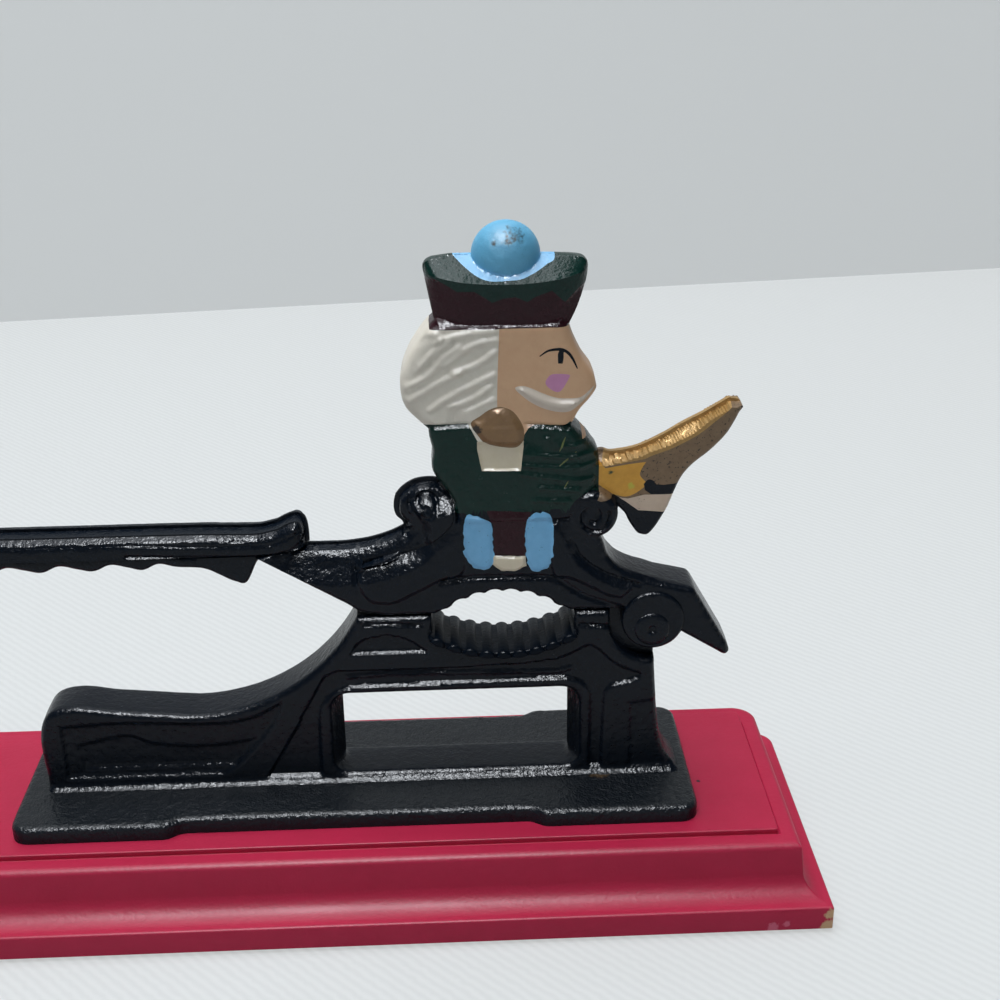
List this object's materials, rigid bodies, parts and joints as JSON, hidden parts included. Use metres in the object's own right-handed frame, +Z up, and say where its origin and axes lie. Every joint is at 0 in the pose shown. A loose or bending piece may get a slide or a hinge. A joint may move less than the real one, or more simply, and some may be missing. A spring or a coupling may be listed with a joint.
{
  "type": "lever nutcracker press",
  "caption": "Bench nutcracker: a hinged cast lever with a ribbed upper jaw and a painted soldier figure closes on a ribbed cast frame, screwed to a moulded wood plinth.",
  "frame": {"origin": "on the surface it stands on, under the centre of the plinth", "axes": "+X from the handle towards the pivot and tail, +Y across the castings, +Z up"},
  "size_m": [0.2066, 0.0704, 0.1503],
  "materials": {
    "red_painted_wood": "satin crimson paint on moulded hardwood",
    "black_painted_iron": "gloss black paint on sand-cast iron",
    "hand_painted_iron": "gloss black paint, with a hand-painted figure",
    "rivet_steel": "steel rivet, painted over with the casting",
    "zinc_steel": "zinc-plated steel",
    "felt": "dense green felt"
  },
  "bodies": {
    "base": {"plinth": "red_painted_wood", "frame_casting": "black_painted_iron", "screw_left": "zinc_steel", "screw_middle": "zinc_steel", "screw_right": "zinc_steel", "washer_left": "zinc_steel", "washer_middle": "zinc_steel", "washer_right": "zinc_steel", "pad_front_left": "felt", "pad_front_right": "felt", "pad_rear_left": "felt", "pad_rear_right": "felt"},
    "lever": {"lever_casting": "hand_painted_iron", "pivot_pin": "rivet_steel"}
  },
  "joints": [
    {"name": "lever_hinge", "type": "hinge", "parent": "base", "child": "lever", "pos_m": [0.066, 0, 0.0606], "axis": [0, 1, 0], "range_deg": [0, 57]}
  ]
}
